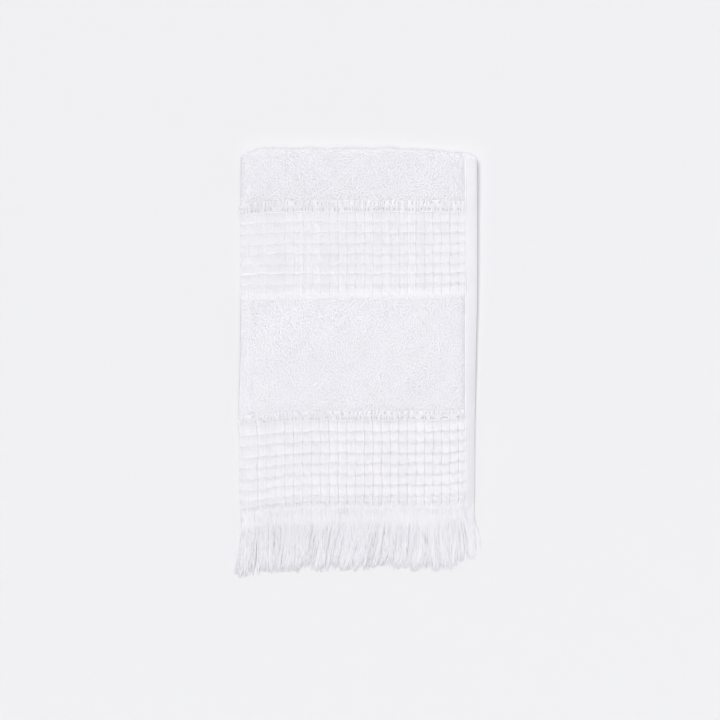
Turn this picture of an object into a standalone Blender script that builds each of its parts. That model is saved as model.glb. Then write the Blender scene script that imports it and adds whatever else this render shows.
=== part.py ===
"""Fringed cotton hand towel, folded in quarters and lying flat. Metres, +Z up.

The cloth is folded once along its length (that fold is at -X) and once across its middle (that fold
is at +Y), so four layers lie on each other. Both side hems of each half lie at +X, and the two woven
ends, with their fringes, lie at -Y. The origin is on the surface below the middle of the towel.
"""

import math
from collections import namedtuple

import bmesh
import bpy
import numpy as np

# Driving dimensions of the cloth, in metres
FOLDED_WIDTH = 0.2500
WOVEN_LENGTH = 0.3952  # from the cross fold to the last weft, half of the woven length
FOLD_Y = 0.2284  # place of the cross fold
STRIP_LENGTH = 0.0052  # woven strip that holds the fringe's roots
PARTING = 0.0003  # between the cloth's end and that strip
LAYER_GAP = 0.0006
FOLD_REACH = 0.0090  # how far in from the lengthwise fold the face is still rounded
FOLD_FULLNESS = 2.4  # 2 is an ellipse, more is fuller
FOLD_LIP = 0.0005
FOLD_DEPTH = 1.15  # cloth left of the slit inside the fold, in thicknesses
EDGE_ROUND = 0.3  # how far a hem's edge is rounded over, in thicknesses
FIRST_COLUMN = 0.0020  # from the lengthwise fold to the first column of cells
FOLD_CORNER = 0.0060  # corner radii seen from above, at both ends of the cross fold
HEM_CORNER = 0.0050
CELL_COLUMNS = 26
CELL_DEPTH = 0.0012
UNDER_FROM_FOLD = (0.024, 0.044, 0.066, 0.094)  # columns of the hidden faces, closer where rows bend
UNDER_FROM_HEM = (0.050, 0.037, 0.025)
FOLD_STEPS = 12
FLAT_START = 0.0040  # the first flat section lies this far below the cross fold's round
LEDGE = 0.0030  # length over which the thickness changes between two bands
SETTLING_SLOPE = 0.085  # the upper layers come down from a thick band to a thin one this gently
SMOOTH_UP_TO = 17  # degrees: ridges of the cells are sharper than this, the folds' steps aren't

# Driving dimensions of the fringe
LOCK_SHARE = 0.84  # of the pitch that a lock fills at its root
LOCK_TIP_SHARE = 0.40
LOCK_TAPER = 2.5  # above 1, a lock narrows mostly near its tip
LOCK_STEPS = 4
LOCK_LEVEL_START = 0.010  # down to here the locks lie as high as the woven strip
LOCK_LEVEL_END = 0.060
TIP_THICK = 0.0008
TIP_GAP = 0.00035
BUNCH = 0.0013  # how far tips lean together into bunches
BUNCH_PITCH = 0.0171
HEM_DRIFT_REACH = 0.022
EDGE_SWERVE = 0.55  # below 1, locks drift right from their roots, as they do at both edges
MIDDLE_SWERVE = 1.3  # above 1, they drift more toward their tips
SWERVE_REACH = 0.030

# The cloth's bands, by their distance from the cross fold
Band = namedtuple("Band", "name start end thick cell_rows stations")
BANDS = (
    Band("middle terry", 0.000, 0.059, 0.0032, 0, 3),
    Band("loose picks", 0.059, 0.066, 0.0030, 1, 1),
    Band("inner waffle", 0.066, 0.154, 0.0028, 8, 0),
    Band("terry", 0.154, 0.281, 0.0032, 0, 5),
    Band("loose picks", 0.281, 0.288, 0.0030, 1, 1),
    Band("outer waffle", 0.288, 0.378, 0.0028, 8, 0),
    Band("plain strip", 0.378, 0.3952, 0.0014, 0, 2),
)

# How the rows of the weave bend: they droop beside the lengthwise fold and rise or fall beside the hem.
# A reach is how far in from its edge the bend is felt.
Bend = namedtuple("Bend", "distance fold_side_droop fold_side_reach hem_side_rise hem_side_reach")
BENDS = (
    Bend(0.000, 0.0050, 0.036, -0.0085, 0.098),
    Bend(0.060, 0.0034, 0.060, -0.0010, 0.060),
    Bend(0.154, 0.0020, 0.080, 0.0030, 0.110),
    Bend(0.288, 0.0060, 0.095, 0.0035, 0.045),
    Bend(0.378, 0.0088, 0.085, 0.0075, 0.045),
    Bend(0.396, 0.0088, 0.085, 0.0070, 0.045),
)

# How far each edge lies outside (+) or inside (-) its nominal place
Edge = namedtuple("Edge", "distance fold_top fold_under hem_face hem_second hem_third hem_bottom")
EDGES = (
    Edge(0.000, 0.0000, 0.0000, 0.0005, -0.0010, -0.0010, 0.0005),
    Edge(0.060, 0.0002, -0.0006, 0.0005, -0.0024, -0.0030, -0.0006),
    Edge(0.130, -0.0006, -0.0014, 0.0006, -0.0030, -0.0022, -0.0016),
    Edge(0.160, 0.0002, -0.0010, 0.0004, -0.0022, -0.0030, -0.0010),
    Edge(0.220, 0.0010, -0.0004, -0.0006, -0.0034, -0.0040, -0.0022),
    Edge(0.285, 0.0019, 0.0002, -0.0016, -0.0040, -0.0034, -0.0028),
    Edge(0.305, 0.0005, -0.0008, -0.0017, -0.0036, -0.0042, -0.0024),
    Edge(0.350, 0.0005, -0.0014, -0.0018, -0.0034, -0.0030, -0.0026),
    Edge(0.396, -0.0008, -0.0018, -0.0021, -0.0040, -0.0026, -0.0020),
)

# The turned side hem, from the stitched groove to the edge: how high it stands over the cloth
Hem = namedtuple("Hem", "from_edge rise")
HEM = (
    Hem(0.0123, -0.0010),
    Hem(0.0112, 0.0003),
    Hem(0.0085, 0.0008),
    Hem(0.0045, 0.0004),
    Hem(0.0012, -0.0007),
)

# The fringe across the towel, from its lengthwise fold: the locks' lengths and their tips' drift sideways
Tip = namedtuple("Tip", "across length drift")
TIPS = (
    Tip(0.000, 0.0500, -0.0100),
    Tip(0.006, 0.0535, -0.0078),
    Tip(0.013, 0.0545, -0.0048),
    Tip(0.020, 0.0450, -0.0010),
    Tip(0.028, 0.0490, -0.0020),
    Tip(0.040, 0.0530, -0.0045),
    Tip(0.060, 0.0545, -0.0070),
    Tip(0.075, 0.0490, -0.0075),
    Tip(0.095, 0.0520, -0.0090),
    Tip(0.112, 0.0500, -0.0100),
    Tip(0.132, 0.0530, -0.0115),
    Tip(0.150, 0.0510, -0.0110),
    Tip(0.162, 0.0490, -0.0060),
    Tip(0.178, 0.0540, -0.0030),
    Tip(0.192, 0.0525, -0.0010),
    Tip(0.198, 0.0490, -0.0005),
    Tip(0.208, 0.0545, 0.0010),
    Tip(0.222, 0.0540, 0.0020),
    Tip(0.230, 0.0470, 0.0040),
    Tip(0.240, 0.0440, 0.0035),
    Tip(0.250, 0.0480, 0.0015),
)

# The fringe's layers, from the surface up: how many locks they have, their length and drift against the
# table's, the drift that is added beside the hem, and how far their bunches are shifted
Layer = namedtuple("Layer", "level locks length drift hem_drift bunch_shift")
LAYERS = {
    "bottom": Layer(0, 50, 0.95, 0.55, 0.0000, 0.0090),
    "third": Layer(1, 42, 0.98, 0.80, 0.0075, 0.0040),
    "second": Layer(2, 42, 0.96, 0.60, 0.0030, 0.0120),
    "face": Layer(3, 64, 1.00, 1.00, 0.0000, 0.0000),
}

WHITE_TERRY = (0.905, 0.905, 0.930, 1.0)
WHITE_YARN = (0.880, 0.880, 0.905, 1.0)

HALF_GAP = LAYER_GAP / 2
TERRY_THICK = BANDS[0].thick
PLAIN_THICK = BANDS[-1].thick
STACK_HEIGHT = 4 * TERRY_THICK + 3 * LAYER_GAP
CLOTH_END = WOVEN_LENGTH - STRIP_LENGTH - PARTING


def column(table, name):
    return np.array([getattr(row, name) for row in table])


def from_table(table, place, name):
    """The named column at a place, along the table's first column."""
    return np.interp(place, column(table, table[0]._fields[0]), column(table, name))


def clear_scene():
    for thing in list(bpy.data.objects):
        bpy.data.objects.remove(thing, do_unlink=True)


def cloth_material(name, colour):
    material = bpy.data.materials.new(name)
    material.use_nodes = True
    shader = material.node_tree.nodes["Principled BSDF"]
    shader.inputs["Base Color"].default_value = colour
    shader.inputs["Roughness"].default_value = 0.95
    shader.inputs["Metallic"].default_value = 0.0
    return material


def add_object(name, mesh_maker, colour):
    """Turns a bmesh into a named object with its own material, its faces pointing out."""
    bmesh.ops.recalc_face_normals(mesh_maker, faces=mesh_maker.faces[:])
    mesh = bpy.data.meshes.new(name)
    mesh_maker.to_mesh(mesh)
    mesh_maker.free()
    mesh.shade_smooth()
    mesh.set_sharp_from_angle(angle=math.radians(SMOOTH_UP_TO))
    mesh.materials.append(cloth_material(name, colour))
    thing = bpy.data.objects.new(name, mesh)
    bpy.context.collection.objects.link(thing)
    return thing


def thickness_at(distance):
    """The cloth's thickness, with a short ledge on the thicker side of each change of band."""
    places, thicks = [], []
    for band in BANDS:
        thick_side = band.cell_rows == 0 and band.thick > PLAIN_THICK
        inset = LEDGE if thick_side else 0.0
        first = band.start + (inset if band.start > 0 else 0.0)
        places += [first, band.end - inset]
        thicks += [band.thick, band.thick]
    places[-2] += LEDGE
    return np.interp(distance, places, thicks)


def settled_thickness(distance):
    """The thickness the upper layers rest on: a thick band holds them up a little way past its end."""
    places = np.linspace(0, WOVEN_LENGTH, 400)
    return float(np.max(thickness_at(places) - SETTLING_SLOPE * abs(places - distance)))


def row_shift(x, distance):
    """How far a row of the weave lies from its straight place along Y, at each x."""
    left, right = x + FOLDED_WIDTH / 2, FOLDED_WIDTH / 2 - x
    droop = from_table(BENDS, distance, "fold_side_droop")
    droop_reach = from_table(BENDS, distance, "fold_side_reach")
    rise = from_table(BENDS, distance, "hem_side_rise")
    rise_reach = from_table(BENDS, distance, "hem_side_reach")
    fold_part = np.clip(1 - left / droop_reach, 0, 1) ** 2
    hem_part = np.clip(1 - right / rise_reach, 0, 1) ** 2
    return rise * hem_part - droop * fold_part


def crown(reach, top):
    """Height of the face above a pair's middle, rounded off beside the lengthwise fold."""
    inside = np.clip(1 - np.asarray(reach) / FOLD_REACH, 0, 1)
    return top * (1 - inside**FOLD_FULLNESS) ** (1 / FOLD_FULLNESS)


def under_columns(left, first, right, end_inset):
    """Where a hidden face has its points, from the lengthwise fold to the hem's rounded edge."""
    near_fold = [left + reach for reach in UNDER_FROM_FOLD]
    near_hem = [right - reach for reach in (*UNDER_FROM_HEM, HEM[0].from_edge, end_inset)]
    return np.array([first, *near_fold, *near_hem])


def pair_section(thick, left, right, right_inner, hem):
    """Section of a pair of layers joined by the lengthwise fold: named rows of (x, height) points.

    Heights are from the pair's middle. Every row runs from the lengthwise fold to the hem. The first
    CELL_COLUMNS + 1 points of the face bound the cells of the waffle.
    """
    top = HALF_GAP + thick
    cells = np.linspace(left + FIRST_COLUMN, right - HEM[0].from_edge, CELL_COLUMNS + 1)
    face = np.column_stack([cells, crown(cells - left, top)])
    face[-1, 1] += HEM[0].rise * hem
    hem_rows = np.array([(right - row.from_edge, top + row.rise * hem) for row in HEM[1:]])
    slit = left + FOLD_DEPTH * thick
    rounding = EDGE_ROUND * thick
    outer_inside = under_columns(left, slit + LAYER_GAP, right, rounding)
    inner_inside = under_columns(left, slit + LAYER_GAP, right_inner, rounding)
    near_fold = left + np.array([FIRST_COLUMN, FOLD_REACH / 2])
    under = np.append(near_fold, under_columns(left, left + FOLD_REACH, right_inner, 2 * rounding))
    return {
        "face": np.vstack([face, hem_rows]),
        "outer_end": np.array([(right, HALF_GAP + thick / 2)]),
        "outer_inside": np.column_stack([outer_inside, np.full(len(outer_inside), HALF_GAP)]),
        "slit": np.array([(slit, 0.0)]),
        "inner_inside": np.column_stack([inner_inside, np.full(len(inner_inside), -HALF_GAP)]),
        "inner_end": np.array([(right_inner, -HALF_GAP - thick / 2)]),
        "under": np.column_stack([under, -crown(under - left, top)]),
        "fold": fold_rows(left, top),
    }


def fold_rows(left, top):
    """The round of the lengthwise fold, from its under side to its upper side."""
    lip = crown(FOLD_LIP, top)
    return np.array([(left + FOLD_LIP, -lip), (left, 0.0), (left + FOLD_LIP, lip)])


def ring_of(rows):
    """A section's rows joined into one closed loop, over the face and back along the under side."""
    backwards = ("outer_inside", "under")
    return [point for name in rows for point in (rows[name][::-1] if name in backwards else rows[name])]


def place_section(rows, to_world):
    """Every row of a section as world points."""
    return {name: to_world(points[:, 0], points[:, 1]) for name, points in rows.items()}


def add_points(maker, rows):
    return {name: [maker.verts.new(point) for point in points] for name, points in rows.items()}


def skin(maker, ring, following):
    """Joins two rings with a band of quads."""
    for i in range(len(ring)):
        j = (i + 1) % len(ring)
        maker.faces.new((ring[i], ring[j], following[j], following[i]))


def close_layer(maker, upper, lower):
    """Closes a layer's cut end, with a face between each two points of its sparser side."""
    sparse, dense = sorted((upper, lower), key=len)
    places = np.array([vert.co.x for vert in dense])
    nearest = [int(np.argmin(abs(places - vert.co.x))) for vert in sparse]
    nearest[0], nearest[-1] = 0, len(dense) - 1
    for k in range(len(sparse) - 1):
        maker.faces.new(dense[nearest[k] : nearest[k + 1] + 1] + [sparse[k + 1], sparse[k]])


def close_fold(maker, end):
    """Closes the cut end beside the lengthwise fold, where the two layers are one."""
    loop = [*end["fold"], end["face"][0], end["outer_inside"][0], *end["slit"]]
    maker.faces.new(loop + [end["inner_inside"][0], end["under"][0]])


def close_end(maker, end):
    """Closes the cloth's woven end: the fold, both layers and the rounded edges of both hems."""
    close_fold(maker, end)
    for upper, lower, edge in (("face", "outer_inside", "outer_end"), ("inner_inside", "under", "inner_end")):
        close_layer(maker, end[upper], end[lower])
        maker.faces.new((end[upper][-1], *end[edge], end[lower][-1]))


def corner_inset(radius, from_top):
    """How far a corner of this radius draws the edge in, at a distance below the cross fold."""
    below = min(max(radius - from_top, 0.0), radius)
    return radius - math.sqrt(radius**2 - below**2)


def edges_at(distance, upper):
    """Where the pair's lengthwise fold and its two hems lie, in the upper or the lower half."""
    sides = ("fold_top", "hem_face", "hem_second") if upper else ("fold_under", "hem_bottom", "hem_third")
    fold_out, outer_out, inner_out = (float(from_table(EDGES, distance, side)) for side in sides)
    half = FOLDED_WIDTH / 2
    return -half - fold_out, half + outer_out, half + inner_out


def lie_flat(rows, distance, thick, upper):
    """Lays a section down at its distance from the cross fold, each pair resting on what is below."""
    side = 1 if upper else -1
    middle = thick + HALF_GAP
    if upper:
        middle += 2 * max(thick, settled_thickness(distance)) + 2 * LAYER_GAP

    def to_world(x, height):
        return np.column_stack([x, FOLD_Y - distance + row_shift(x, distance), middle + side * height])

    return place_section(rows, to_world)


def lying_section(distance, upper):
    thick = float(thickness_at(distance))
    rows = pair_section(thick, *edges_at(distance, upper), 1.0 if upper else 0.0)
    return lie_flat(rows, distance, thick, upper)


def folding_section(angle):
    """The pair's section on its way round the cross fold: 0 is the upper half, pi the lower."""
    from_top = STACK_HEIGHT / 2 * (1 - math.sin(angle))
    left = -FOLDED_WIDTH / 2 + corner_inset(FOLD_CORNER, from_top)
    edge = FOLDED_WIDTH / 2 - corner_inset(HEM_CORNER, from_top)
    hem = math.cos(angle / 2) ** 2 * math.cos(angle / 4) ** 2
    rows = pair_section(TERRY_THICK, left, edge + EDGES[0].hem_face, edge + EDGES[0].hem_second, hem)

    def to_world(x, height):
        radius = TERRY_THICK + LAYER_GAP + height
        y = FOLD_Y - STACK_HEIGHT / 2 + row_shift(x, 0.0) + radius * math.sin(angle)
        return np.column_stack([x, y, STACK_HEIGHT / 2 + radius * math.cos(angle)])

    return place_section(rows, to_world)


def station_distances():
    """Distances from the cross fold at which the upper half has a section: every cell row has one."""
    places = [STACK_HEIGHT / 2 + FLAT_START]
    for band in BANDS:
        inset = LEDGE if band.cell_rows == 0 else 0.0
        if band.start > 0:
            places.append(band.start + inset)
        inner = max(band.cell_rows, band.stations)
        end = min(band.end, CLOTH_END) - inset * (band.end < CLOTH_END)
        start = max(band.start + inset, places[-1])
        places += list(np.linspace(start, end, inner + 1)[1:])
    return np.unique(np.round(places, 6))


def build_cloth():
    """Carries the pair's section along the upper half, round the cross fold and along the lower half."""
    distances = station_distances()
    lower_stops = [d for band in BANDS for d in (band.start + LEDGE, band.end - LEDGE)]
    lower_distances = np.unique(np.round([distances[0], *lower_stops[1:-1], CLOTH_END], 6))
    sections = [lying_section(d, True) for d in distances[::-1]]
    sections += [folding_section(a) for a in np.linspace(0, math.pi, FOLD_STEPS + 1)]
    sections += [lying_section(d, False) for d in lower_distances]
    maker = bmesh.new()
    ends = [add_points(maker, section) for section in sections]
    rings = [ring_of(end) for end in ends]
    for ring, following in zip(rings, rings[1:]):
        skin(maker, ring, following)
    close_end(maker, ends[0])
    close_end(maker, ends[-1])
    bmesh.ops.recalc_face_normals(maker, faces=maker.faces[:])
    press_cells(maker, rings, distances[::-1])
    return add_object("towel_cloth", maker, WHITE_TERRY)


def press_cells(maker, rings, distances):
    """Presses the middle of each quad of the waffle bands in, so that its four sides stand as ridges."""
    cells = []
    for ring, following, far, near in zip(rings, rings[1:], distances, distances[1:]):
        middle = (far + near) / 2
        if not any(b.cell_rows > 1 and b.start < middle < b.end for b in BANDS):
            continue
        for i in range(CELL_COLUMNS):
            corners = {ring[i], ring[i + 1], following[i], following[i + 1]}
            cells += [f for f in ring[i].link_faces if set(f.verts) == corners]
    bmesh.ops.poke(maker, faces=cells, offset=-CELL_DEPTH)


def lock_level(y, level):
    """Bottom and top of a layer's locks: they sink on each other toward their tips."""
    below = FOLD_Y - WOVEN_LENGTH - y
    part = np.clip((below - LOCK_LEVEL_START) / (LOCK_LEVEL_END - LOCK_LEVEL_START), 0, 1)
    thick = PLAIN_THICK + (TIP_THICK - PLAIN_THICK) * part
    gap = LAYER_GAP + (TIP_GAP - LAYER_GAP) * part
    bottom = level * (thick + gap)
    return bottom, bottom + thick


def lock_place(corner, middle, layer, part):
    """Where a corner of a lock's root has moved to, part of the way (0 to 1) down the lock."""
    share = 1 + (LOCK_TIP_SHARE / LOCK_SHARE - 1) * part**LOCK_TAPER
    x = middle + (corner.x - middle) * share
    across = x + FOLDED_WIDTH / 2
    bunch = -BUNCH * math.sin(2 * math.pi * (across + layer.bunch_shift) / BUNCH_PITCH)
    beside_hem = max(0.0, 1 - (FOLDED_WIDTH - across) / HEM_DRIFT_REACH)
    drift = layer.drift * float(from_table(TIPS, across, "drift")) + bunch + layer.hem_drift * beside_hem
    from_edge = min(across, FOLDED_WIDTH - across)
    swerve = np.interp(from_edge, (0, SWERVE_REACH), (EDGE_SWERVE, MIDDLE_SWERVE))
    length = layer.length * float(from_table(TIPS, middle + FOLDED_WIDTH / 2, "length"))
    y = corner.y - length * part
    bottom, top = lock_level(y, layer.level)
    return x + drift * part**swerve, y, bottom, top


def grow_lock(maker, root, layer):
    """Extrudes a root face step by step into a tapering lock of yarns."""
    corners = [vert.co.copy() for vert in root.verts]
    middle = sum(corner.x for corner in corners) / 4
    height = sum(corner.z for corner in corners) / 4
    face = root
    for step in range(1, LOCK_STEPS + 1):
        face = bmesh.ops.extrude_discrete_faces(maker, faces=[face])["faces"][0]
        for vert, corner in zip(face.verts, corners):
            x, y, bottom, top = lock_place(corner, middle, layer, step / LOCK_STEPS)
            vert.co = (x, y, top if corner.z > height else bottom)


def lock_bounds(left, right, locks):
    """Both sides of each lock's root across one layer."""
    pitch = (right - left) / (locks - 1 + LOCK_SHARE)
    starts = left + pitch * np.arange(locks)
    return np.column_stack([starts, starts + pitch * LOCK_SHARE]).ravel()


def strip_section(upper, outer_layer, inner_layer):
    """The woven strip's section, with a point on each side of every lock's root in both layers."""
    left, right, right_inner = edges_at(WOVEN_LENGTH, upper)
    slit = left + FOLD_DEPTH * PLAIN_THICK
    top = HALF_GAP + PLAIN_THICK
    outer = lock_bounds(slit + LAYER_GAP, right, outer_layer.locks)
    inner = lock_bounds(slit + LAYER_GAP, right_inner, inner_layer.locks)
    return {
        "face": np.column_stack([outer, crown(outer - left, top)]),
        "outer_inside": np.column_stack([outer, np.full(len(outer), HALF_GAP)]),
        "slit": np.array([(slit, 0.0)]),
        "inner_inside": np.column_stack([inner, np.full(len(inner), -HALF_GAP)]),
        "under": np.column_stack([inner, -crown(inner - left, top)]),
        "fold": fold_rows(left, top),
    }


def grow_locks(maker, upper, lower, layer):
    """Closes a layer's cut end with quads, and grows a lock from every other one."""
    for k in range(len(upper) - 1):
        quad = maker.faces.new((upper[k], upper[k + 1], lower[k + 1], lower[k]))
        if k % 2 == 0:
            grow_lock(maker, quad, layer)


def build_fringe(name, upper, outer_layer, inner_layer):
    """A narrow woven strip round the lengthwise fold, with the locks of two layers growing from it."""
    rows = strip_section(upper, outer_layer, inner_layer)
    maker = bmesh.new()
    distances = (WOVEN_LENGTH - STRIP_LENGTH, WOVEN_LENGTH)
    first, last = (add_points(maker, lie_flat(rows, d, PLAIN_THICK, upper)) for d in distances)
    skin(maker, ring_of(first), ring_of(last))
    close_fold(maker, first)
    close_layer(maker, first["face"], first["outer_inside"])
    close_layer(maker, first["inner_inside"], first["under"])
    close_fold(maker, last)
    grow_locks(maker, last["face"], last["outer_inside"], outer_layer)
    grow_locks(maker, last["inner_inside"], last["under"], inner_layer)
    return add_object(name, maker, WHITE_YARN)


def main():
    clear_scene()
    build_cloth()
    build_fringe("fringe_upper_end", True, LAYERS["face"], LAYERS["second"])
    build_fringe("fringe_lower_end", False, LAYERS["bottom"], LAYERS["third"])


main()
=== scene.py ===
# White cotton hand towel, folded in quarters and fringed at both ends: its looks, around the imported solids.
# Sizes are in metres. x runs across the folded towel, and the cross fold is at its far end, at +y.
from math import ceil, floor, pi, radians
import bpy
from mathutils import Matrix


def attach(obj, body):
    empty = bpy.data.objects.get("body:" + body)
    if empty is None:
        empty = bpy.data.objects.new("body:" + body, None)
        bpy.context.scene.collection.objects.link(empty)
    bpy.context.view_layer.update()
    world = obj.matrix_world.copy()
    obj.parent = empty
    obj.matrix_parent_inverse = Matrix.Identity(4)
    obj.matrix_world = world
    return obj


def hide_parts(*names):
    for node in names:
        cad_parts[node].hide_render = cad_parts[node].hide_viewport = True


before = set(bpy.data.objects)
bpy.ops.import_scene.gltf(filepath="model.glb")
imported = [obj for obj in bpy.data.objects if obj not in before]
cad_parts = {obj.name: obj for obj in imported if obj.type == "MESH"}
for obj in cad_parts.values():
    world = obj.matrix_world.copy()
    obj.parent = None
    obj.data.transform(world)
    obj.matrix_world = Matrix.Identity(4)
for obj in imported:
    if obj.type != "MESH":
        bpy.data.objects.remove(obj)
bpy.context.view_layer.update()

from types import SimpleNamespace

import bpy
import numpy as np

dice = np.random.default_rng(12)

# ---- the folded cloth, as the solids have it

towel = dict(
    width=0.25,  # folded
    wovenLength=0.3952,  # from the cross fold to the last weft
    foldY=0.2284,
    layerGap=0.0006,
    foldReach=0.012,  # how far in from the lengthwise fold the face is rounded
    foldArc=0.0131,  # the same measured on the cloth
    foldFullness=2.0,  # 2 is an ellipse, more is fuller
    foldHeight=0.0033,  # what the rounding's own measure counts with
    slitDepth=1.15,  # cloth left of the slit inside the fold, in thicknesses
    settlingSlope=0.085,  # how gently the upper layers come down from a thick band
    settlingSpan=17,  # places over which their thickness is averaged
    ledge=0.0065,  # length over which the thickness changes
    foldCorner=0.006,
    hemCorner=0.005,
)

bands = (  # by distance from the cross fold; the stack swells by the crown in a band's middle
    dict(weave="terry", start=0.0, end=0.059, thick=0.0032, crown=0.0008),
    dict(weave="loose", start=0.059, end=0.068, thick=0.003),
    dict(weave="waffle", start=0.068, end=0.1555, thick=0.0028),
    dict(weave="terry", start=0.1555, end=0.281, thick=0.0032, crown=0.0026),
    dict(weave="loose", start=0.281, end=0.288, thick=0.003),
    dict(weave="waffle", start=0.288, end=0.378, thick=0.0028),
    dict(weave="plain", start=0.378, end=0.3952, thick=0.0014, ledge=0.0035),
)

bandEnds = dict(  # of a weave: how softly its part of the face ends, and how far before and past its bands
    loops=("terry", 0.0015, 0, 0),
    cells=("waffle", 0.0005, 0, 0),
    yarns=("waffle", 0.001, 0, 0),
    bed=("waffle", 0.003, 0.003, 0.003),
    trough=("loose", 0.002, 0.002, 0.0015),
)

bends = dict(  # how the rows of the weave droop beside the lengthwise fold and rise beside the hem
    distance=(0.0, 0.06, 0.154, 0.288, 0.378, 0.396),
    foldDroop=(0.005, 0.0034, 0.002, 0.006, 0.0088, 0.0088),
    foldReach=(0.036, 0.06, 0.08, 0.095, 0.085, 0.085),
    hemRise=(-0.0085, -0.001, 0.003, 0.0035, 0.0075, 0.007),
    hemReach=(0.098, 0.06, 0.11, 0.045, 0.045, 0.045),
)

edges = dict(  # how far each edge of the four layers lies outside (+) or inside (-) its nominal place
    distance=(0.0, 0.06, 0.13, 0.16, 0.22, 0.285, 0.305, 0.35, 0.396),
    foldTop=(0.0, 0.0002, -0.0006, 0.0002, 0.001, 0.0019, 0.0005, 0.0005, -0.0008),
    foldUnder=(0.0, -0.0006, -0.0014, -0.001, -0.0004, 0.0002, -0.0008, -0.0014, -0.0018),
    hemFace=(0.0005, 0.0005, 0.0006, 0.0004, -0.0006, -0.0016, -0.0017, -0.0018, -0.0021),
    hemSecond=(0.0, 0.0, -0.001, -0.0014, -0.0024, -0.0034, -0.0034, -0.0034, -0.004),
    hemThird=(0.0006, 0.0006, 0.0002, -0.0006, -0.002, -0.003, -0.0036, -0.003, -0.0026),
    hemBottom=(0.001, 0.0011, 0.0008, 0.0006, -0.0004, -0.0014, -0.0014, -0.0016, -0.0016),
)

falls = dict(  # how far the top of the stack comes down at its hems, in three slopes of their own reach
    distance=(0.0, 0.06, 0.13, 0.2, 0.28, 0.33, 0.396),
    hem=(0.0006, 0.0008, 0.0012, 0.0024, 0.0038, 0.004, 0.004),
    far=(0.0, 0.0002, 0.0004, 0.0009, 0.0017, 0.0022, 0.0022),
    edge=(0.0, 0.0002, 0.0008, 0.0026, 0.004, 0.0052, 0.0052),
)
pressed = dict(
    hem=0.03,  # how far in from the hems each slope starts
    far=0.13,
    edge=0.015,
    edgePower=1.25,  # the other slopes are squares
    fold=0.014,  # and from the lengthwise fold
    foldFall=0.006,
    crownFold=0.05,  # the crown eases in so far from each side
    crownHem=0.06,
)

hemShape = dict(  # the turned side hem's rise over the cloth, from its edge to past its stitched groove
    fromEdge=(
        0.0, 0.002, 0.004, 0.0065, 0.0088, 0.0104, 0.0114, 0.0118, 0.012, 0.0127, 0.0131, 0.0138, 0.015,
    ),
    rise=(
        -0.0012, -0.0006, 0.0, 0.0004, 0.0007, 0.0008, 0.0006, 0.0002, -0.0028, -0.0028, -0.0006, -0.0001, 0,
    ),
)
hemAlong = dict(  # its width, how open its groove is, and how deep the valley beside that
    distance=(0.0, 0.055, 0.07, 0.14, 0.165, 0.22, 0.29, 0.396),
    scale=(1.02, 1.0, 1.0, 0.98, 0.94, 0.88, 0.8, 0.77),
    groove=(0.5, 0.5, 0.15, 0.15, 0.8, 1.0, 0.7, 0.6),
    valley=(0.0003, 0.0004, 0.0001, 0.0001, 0.0006, 0.001, 0.0012, 0.001),
)
hem = dict(
    groove=0.0123,  # from the edge to the stitches
    grooveFrom=0.0105,  # from here on the groove may be shallower
    width=0.0138,
    fade=0.012,  # the hollows of the cloth end there, in the crack beside the hem
    valleyFrom=0.0116,  # beside it the face dips, from the crack on
    valleyReach=0.007,  # how soon the face rises again beside the groove
    round=0.0026,  # how far in from the edge it is rounded over
    roundDrop=0.35,  # in thicknesses
    stitch=0.0032,
    stitchGap=0.0007,
    stitchStart=0.008,
    stitchEnds=0.012,  # left without stitches, both ends together
    threadRadius=0.00024,
)

waffle = dict(
    columns=26,
    rows=8,
    firstColumn=-0.0018,  # the first ridge lies round the lengthwise fold
    narrowing=0.045,  # columns are this much wider than the mean at the fold, and narrower at the hem
    rowDepth=0.0012,  # below the crosswise ridges
    rowKept=(0.9, 0.5),  # the part of that depth at the fold, and how much more at the hem
    columnDepth=0.0008,  # below the lengthwise ridges
    deepest=0.0026,
    alongPart=dict(distance=(0.0, 0.11, 0.25, 0.33, 0.4), kept=(0.55, 0.65, 1.0, 1.2, 1.2)),
    columnPart=dict(place=(0.0, 0.3, 0.6, 1.0), kept=(0.55, 0.75, 1.0, 1.3)),  # from fold to hem
    rowDrop=0.36,  # the part of a cell in which it falls from a crosswise ridge
    columnDrop=0.14,  # and from a lengthwise one
    sag=0.06,  # how far a crosswise ridge dips between two columns, in cells
    meanWidth=0.009,  # of a column
    looseTrough=0.001,
    looseLift=0.0009,  # how far the yarns lie above that trough
    ends=9,  # lengthwise yarns in a cell
    picks=10,  # crosswise yarns in a cell
    uneven=0.13,  # how far a yarn strays from its even place
    yarnRadius=0.00054,
    yarnFlat=0.37,  # height of a pressed yarn as a part of its width
    weave=0.00024,  # how far a yarn rises over those it crosses
    turn=(0.3, 0.15),  # where a yarn comes up between ridge and middle, and how softly
    bed=0.0005,  # how far the ground lies under the yarns
    lines=(4, 7),  # yarns of a cell that show as fine lines, counted from its ridge
    lineDrop=0.0003,  # as they lie this much lower
    grooveDrop=0.0006,  # and the lengthwise one beside a ridge this much
    steps=(0.0, 0.08, 0.16, 0.34, 0.67),  # points of a yarn in each cell
    runOut=(0.0, 0.22, 0.45),  # the last points of a lengthwise yarn, past its band
    runOutDrop=0.0026,  # how fast it sinks there, for a cell
    gapRows=(0.2, 0.95),  # rows of gaps, as parts of the loose band from its end
    gapWidth=0.19,
    groupEnds=0.28,  # share of the yarns that start a new group there
    gather=dict(  # how far they draw together, from fold to hem
        place=(0.0, 0.35, 0.55, 0.9, 1.0),
        part=(0.22, 0.3, 0.55, 0.6, 0.4),
    ),
    edgeInset=0.0004,
    wrap=0.0085,  # how far the yarns show round the fold, under the towel
)

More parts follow.
